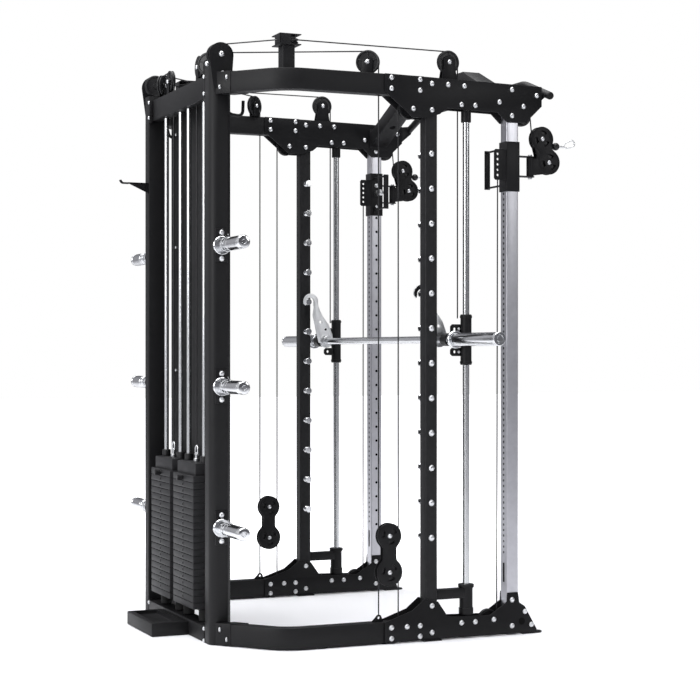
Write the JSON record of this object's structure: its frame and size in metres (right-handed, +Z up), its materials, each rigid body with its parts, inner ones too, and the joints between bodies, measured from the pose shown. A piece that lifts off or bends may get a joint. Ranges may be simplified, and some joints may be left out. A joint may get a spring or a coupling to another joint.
{
  "type": "smith machine",
  "caption": "Smith machine with guided bar and catch hooks, twin selector weight stacks, sliding swivel cable heads, catch pegs, plate storage and a pull-up bar.",
  "frame": {"origin": "on the floor under the middle of the whole machine's box", "axes": "+Z up, -Y towards the open front where the user trains, +X to the right seen from the front"},
  "size_m": [2.074, 1.5692, 2.225],
  "materials": {
    "black_powder_coat": "fine-textured satin powder coat",
    "galvanised_steel": "galvanised, slightly mottled",
    "chrome": "bright polished",
    "cast_iron": "painted, matt",
    "satin_steel": "zinc plated, satin",
    "black_nylon": "moulded, satin",
    "cable_jacket": "smooth nylon coat over steel rope"
  },
  "bodies": {
    "frame": {"tower_head_beam": "black_powder_coat", "tower_base": "black_powder_coat", "tower_shroud": "black_powder_coat", "cross_member": "black_powder_coat", "pull_up_bar": "black_powder_coat", "right_main_upright": "black_powder_coat", "left_main_upright": "black_powder_coat", "right_cable_column": "galvanised_steel", "left_cable_column": "galvanised_steel", "right_guide_rod": "chrome", "left_guide_rod": "chrome", "right_rod_socket": "black_powder_coat", "left_rod_socket": "black_powder_coat", "right_top_plates": "black_powder_coat", "left_top_plates": "black_powder_coat", "right_bottom_plates": "black_powder_coat", "left_bottom_plates": "black_powder_coat", "right_top_rail": "black_powder_coat", "left_top_rail": "black_powder_coat", "right_base_rail": "black_powder_coat", "left_base_rail": "black_powder_coat", "right_rear_upright": "black_powder_coat", "left_rear_upright": "black_powder_coat", "right_stack_rods": "chrome", "left_stack_rods": "chrome", "right_resting_plates": "cast_iron", "left_resting_plates": "cast_iron", "right_high_cable": "cable_jacket", "left_high_cable": "cable_jacket", "right_low_cable": "cable_jacket", "left_low_cable": "cable_jacket", "right_smith_cable": "cable_jacket", "left_smith_cable": "cable_jacket"},
    "smith_carriage": {"right_carriage": "black_powder_coat", "left_carriage": "black_powder_coat"},
    "smith_bar": {"bar_shaft": "chrome", "right_hook": "satin_steel", "left_hook": "satin_steel"},
    "right_sleeve": {"right_sleeve": "chrome"},
    "right_trolley": {"right_trolley": "black_powder_coat"},
    "right_pop_pin": {"right_pop_pin": "satin_steel"},
    "right_head": {"right_swivel_head": "black_powder_coat"},
    "right_cable_end": {"right_cable_end": "black_nylon"},
    "right_block": {"right_travelling_block": "black_powder_coat"},
    "right_block_pulley": {"right_block_pulley": "black_nylon"},
    "right_lifted_weight": {"right_lifted_plate": "cast_iron"},
    "right_selector_pin": {"right_selector_pin": "chrome"},
    "right_bridge_pulley": {"right_bridge_pulley": "black_nylon"},
    "right_rail_pulley": {"right_rail_pulley": "black_nylon"},
    "left_sleeve": {"left_sleeve": "chrome"},
    "left_trolley": {"left_trolley": "black_powder_coat"},
    "left_pop_pin": {"left_pop_pin": "satin_steel"},
    "left_head": {"left_swivel_head": "black_powder_coat"},
    "left_cable_end": {"left_cable_end": "black_nylon"},
    "left_block": {"left_travelling_block": "black_powder_coat"},
    "left_block_pulley": {"left_block_pulley": "black_nylon"},
    "left_lifted_weight": {"left_lifted_plate": "cast_iron"},
    "left_selector_pin": {"left_selector_pin": "chrome"},
    "left_bridge_pulley": {"left_bridge_pulley": "black_nylon"},
    "left_rail_pulley": {"left_rail_pulley": "black_nylon"}
  },
  "joints": [
    {"name": "smith_slide", "type": "slide", "parent": "frame", "child": "smith_carriage", "axis": [0, 0, 1], "range_m": [-0.7, 0.7], "deforming": ["right_smith_cable", "left_smith_cable"]},
    {"name": "bar_turn", "type": "hinge", "parent": "smith_carriage", "child": "smith_bar", "pos_m": [0, -0.22838, 1.121], "axis": [1, 0, 0], "range_deg": [0, 60]},
    {"name": "right_sleeve_spin", "type": "hinge", "parent": "smith_bar", "child": "right_sleeve", "pos_m": [0.868, -0.22838, 1.121], "axis": [1, 0, 0], "continuous": true},
    {"name": "right_trolley_slide", "type": "slide", "parent": "frame", "child": "right_trolley", "axis": [0, 0, 1], "range_m": [-1.45, 0], "deforming": ["right_low_cable"]},
    {"name": "right_pop_pin_pull", "type": "slide", "parent": "right_trolley", "child": "right_pop_pin", "axis": [-1, 0, 0], "range_m": [0, 0.012], "stiffness_N_per_m": 700},
    {"name": "right_head_swivel", "type": "hinge", "parent": "right_trolley", "child": "right_head", "pos_m": [0.628, -0.58238, 1.784], "axis": [0, 0, 1], "range_deg": [-80, 80]},
    {"name": "right_block_slide", "type": "slide", "parent": "frame", "child": "right_block", "axis": [0, 0, 1], "range_m": [0, 0.725]},
    {"name": "right_block_pulley_spin", "type": "hinge", "parent": "right_block", "child": "right_block_pulley", "pos_m": [0.628, 0.01562, 0.396], "axis": [1, 0, 0], "continuous": true},
    {"name": "right_stack_lift", "type": "slide", "parent": "frame", "child": "right_lifted_weight", "axis": [0, 0, 1], "range_m": [0, 0.95], "deforming": ["right_high_cable"]},
    {"name": "right_selector_pin_pull", "type": "slide", "parent": "right_lifted_weight", "child": "right_selector_pin", "axis": [0, 1, 0], "range_m": [0, 0.05]},
    {"name": "right_cable_pull", "type": "slide", "parent": "right_head", "child": "right_cable_end", "axis": [0, -1, 0], "range_m": [0, 0.95]},
    {"name": "right_bridge_pulley_spin", "type": "hinge", "parent": "frame", "child": "right_bridge_pulley", "pos_m": [0.62, -0.23438, 2.163], "axis": [1, 0, 0], "continuous": true},
    {"name": "right_rail_pulley_spin", "type": "hinge", "parent": "frame", "child": "right_rail_pulley", "pos_m": [0.60621, 0.08916, 2.144], "axis": [0.8387, 0.5446, 0], "continuous": true},
    {"name": "left_sleeve_spin", "type": "hinge", "parent": "smith_bar", "child": "left_sleeve", "pos_m": [-0.868, -0.22838, 1.121], "axis": [1, 0, 0], "continuous": true},
    {"name": "left_trolley_slide", "type": "slide", "parent": "frame", "child": "left_trolley", "axis": [0, 0, 1], "range_m": [-1.45, 0], "deforming": ["left_low_cable"]},
    {"name": "left_pop_pin_pull", "type": "slide", "parent": "left_trolley", "child": "left_pop_pin", "axis": [1, 0, 0], "range_m": [0, 0.012], "stiffness_N_per_m": 700},
    {"name": "left_head_swivel", "type": "hinge", "parent": "left_trolley", "child": "left_head", "pos_m": [-0.628, -0.58238, 1.784], "axis": [0, 0, 1], "range_deg": [-80, 80]},
    {"name": "left_block_slide", "type": "slide", "parent": "frame", "child": "left_block", "axis": [0, 0, 1], "range_m": [0, 0.725]},
    {"name": "left_block_pulley_spin", "type": "hinge", "parent": "left_block", "child": "left_block_pulley", "pos_m": [-0.628, 0.01562, 0.396], "axis": [1, 0, 0], "continuous": true},
    {"name": "left_stack_lift", "type": "slide", "parent": "frame", "child": "left_lifted_weight", "axis": [0, 0, 1], "range_m": [0, 0.95], "deforming": ["left_high_cable"]},
    {"name": "left_selector_pin_pull", "type": "slide", "parent": "left_lifted_weight", "child": "left_selector_pin", "axis": [0, 1, 0], "range_m": [0, 0.05]},
    {"name": "left_cable_pull", "type": "slide", "parent": "left_head", "child": "left_cable_end", "axis": [0, -1, 0], "range_m": [0, 0.95]},
    {"name": "left_bridge_pulley_spin", "type": "hinge", "parent": "frame", "child": "left_bridge_pulley", "pos_m": [-0.62, -0.23438, 2.163], "axis": [1, 0, 0], "continuous": true},
    {"name": "left_rail_pulley_spin", "type": "hinge", "parent": "frame", "child": "left_rail_pulley", "pos_m": [-0.60621, 0.08916, 2.144], "axis": [0.8387, -0.5446, 0], "continuous": true}
  ],
  "couplings": [
    {"joint": "right_block_slide", "follows": "right_trolley_slide", "ratio": -0.5},
    {"joint": "right_cable_pull", "follows": "right_stack_lift", "ratio": 1},
    {"joint": "left_block_slide", "follows": "left_trolley_slide", "ratio": -0.5},
    {"joint": "left_cable_pull", "follows": "left_stack_lift", "ratio": 1}
  ]
}
